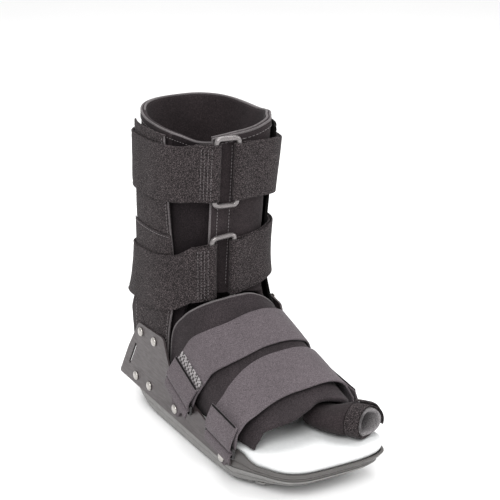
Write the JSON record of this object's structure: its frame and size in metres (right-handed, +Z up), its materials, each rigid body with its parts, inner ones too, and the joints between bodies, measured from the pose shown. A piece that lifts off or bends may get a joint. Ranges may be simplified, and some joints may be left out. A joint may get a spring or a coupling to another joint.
{
  "type": "bunion boot",
  "caption": "Short walking brace with a rocker sole, riveted side plates, padded leg wrap, foot cover, hook-and-loop straps on wire rings and a separate toe sleeve.",
  "frame": {"origin": "on the flat underside of the outsole, on the boot's middle line, below the shin", "axes": "+Z up, +Y towards the heel, -Y towards the toes, +X towards the inner (medial) side of this right boot"},
  "size_m": [0.1338, 0.2828, 0.2791],
  "materials": {
    "outsole": "matt",
    "tray": "satin",
    "insole": "matt closed-cell foam",
    "plate": "satin powder coat",
    "rivet": "nickel plated",
    "ring": "gloss grey",
    "wire": "semi-gloss black",
    "upright": "satin black",
    "loop": "napped loop cloth",
    "foam": "smooth cloth over foam",
    "strap": "fine brushed cloth",
    "pad": "soft foam"
  },
  "bodies": {
    "root": {"outsole": "outsole", "midsole_tray": "tray", "insole": "insole", "lateral_bracket": "plate", "medial_bracket": "plate", "lateral_rivet_1": "rivet", "lateral_rivet_2": "rivet", "lateral_rivet_3": "rivet", "lateral_rivet_4": "rivet", "lateral_rivet_5": "rivet", "lateral_rivet_6": "rivet", "medial_rivet_1": "rivet", "medial_rivet_2": "rivet", "medial_rivet_3": "rivet", "medial_rivet_4": "rivet", "medial_rivet_5": "rivet", "medial_rivet_6": "rivet", "lateral_upright": "upright", "medial_upright": "upright", "lateral_sleeve": "loop", "medial_sleeve": "loop", "lateral_keeper": "foam", "liner_shaft": "foam", "foot_cover": "foam", "upper_leg_strap": "loop", "lower_leg_strap": "loop", "upper_leg_ring": "ring", "lower_leg_ring": "ring", "forefoot_strap_1": "strap", "forefoot_strap_2": "strap", "lateral_foot_ring_1": "wire", "lateral_foot_ring_2": "wire", "medial_foot_ring_1": "wire", "medial_foot_ring_2": "wire", "lateral_flap_1": "strap", "lateral_flap_2": "strap", "medial_flap_1": "strap", "medial_flap_2": "strap", "toe_sleeve": "foam", "toe_band": "loop", "toe_pad": "pad"}
  },
  "joints": []
}
